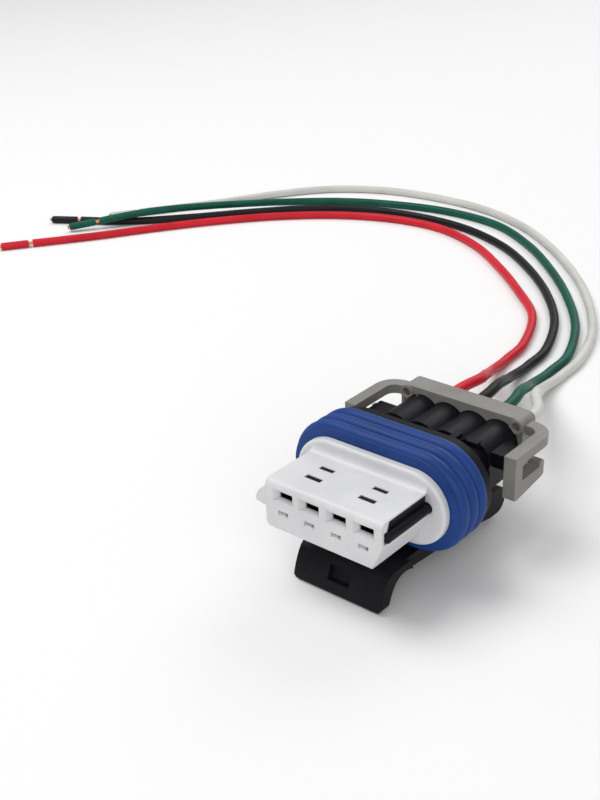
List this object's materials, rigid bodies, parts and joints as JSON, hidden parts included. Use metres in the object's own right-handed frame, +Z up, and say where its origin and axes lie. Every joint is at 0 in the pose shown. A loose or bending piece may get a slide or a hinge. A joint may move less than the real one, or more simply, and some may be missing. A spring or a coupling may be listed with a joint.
{
  "type": "sealed wiring connector",
  "caption": "Sealed plug connector with a keyed nose, ring seal, under-side lever latch, sliding rear retainer and free coloured leads; joins lighting circuits on a truck or trailer.",
  "frame": {"origin": "on the resting surface, under the middle of the connector body with its nose and retainer", "axes": "+Y runs from the nose to the leads' exits, +Z is up away from the latch, +X is across the row of cavities"},
  "size_m": [0.2101, 0.1917, 0.026],
  "materials": {
    "black_nylon": "satin moulded",
    "white_nylon": "satin moulded",
    "grey_nylon": "satin moulded",
    "blue_silicone": "satin",
    "green_silicone": "satin",
    "tinned_brass": "tin-plated",
    "copper": "bare strands",
    "red_insulation": "semi-gloss",
    "black_insulation": "semi-gloss",
    "green_insulation": "semi-gloss",
    "white_insulation": "semi-gloss"
  },
  "bodies": {
    "connector": {"housing": "black_nylon", "nose": "white_nylon", "ring_seal": "blue_silicone", "cable_seal_1": "green_silicone", "cable_seal_2": "green_silicone", "cable_seal_3": "green_silicone", "cable_seal_4": "green_silicone", "terminal_1": "tinned_brass", "terminal_2": "tinned_brass", "terminal_3": "tinned_brass", "terminal_4": "tinned_brass", "wire_red": "red_insulation", "wire_black": "black_insulation", "wire_green": "green_insulation", "wire_white": "white_insulation", "core_red": "copper", "core_black": "copper", "core_green": "copper", "core_white": "copper", "slug_red": "red_insulation", "slug_black": "black_insulation", "slug_green": "green_insulation", "slug_white": "white_insulation"},
    "latch": {"latch_arm": "black_nylon"},
    "retainer": {"rear_retainer": "grey_nylon"}
  },
  "joints": [
    {"name": "latch_flex", "type": "hinge", "parent": "connector", "child": "latch", "pos_m": [0, 0.0158, 0.0072], "axis": [1, 0, 0], "range_deg": [0, 6], "stiffness_Nm_per_rad": 1},
    {"name": "retainer_slide", "type": "slide", "parent": "connector", "child": "retainer", "axis": [0, 1, 0], "range_m": [0, 0.008]}
  ]
}
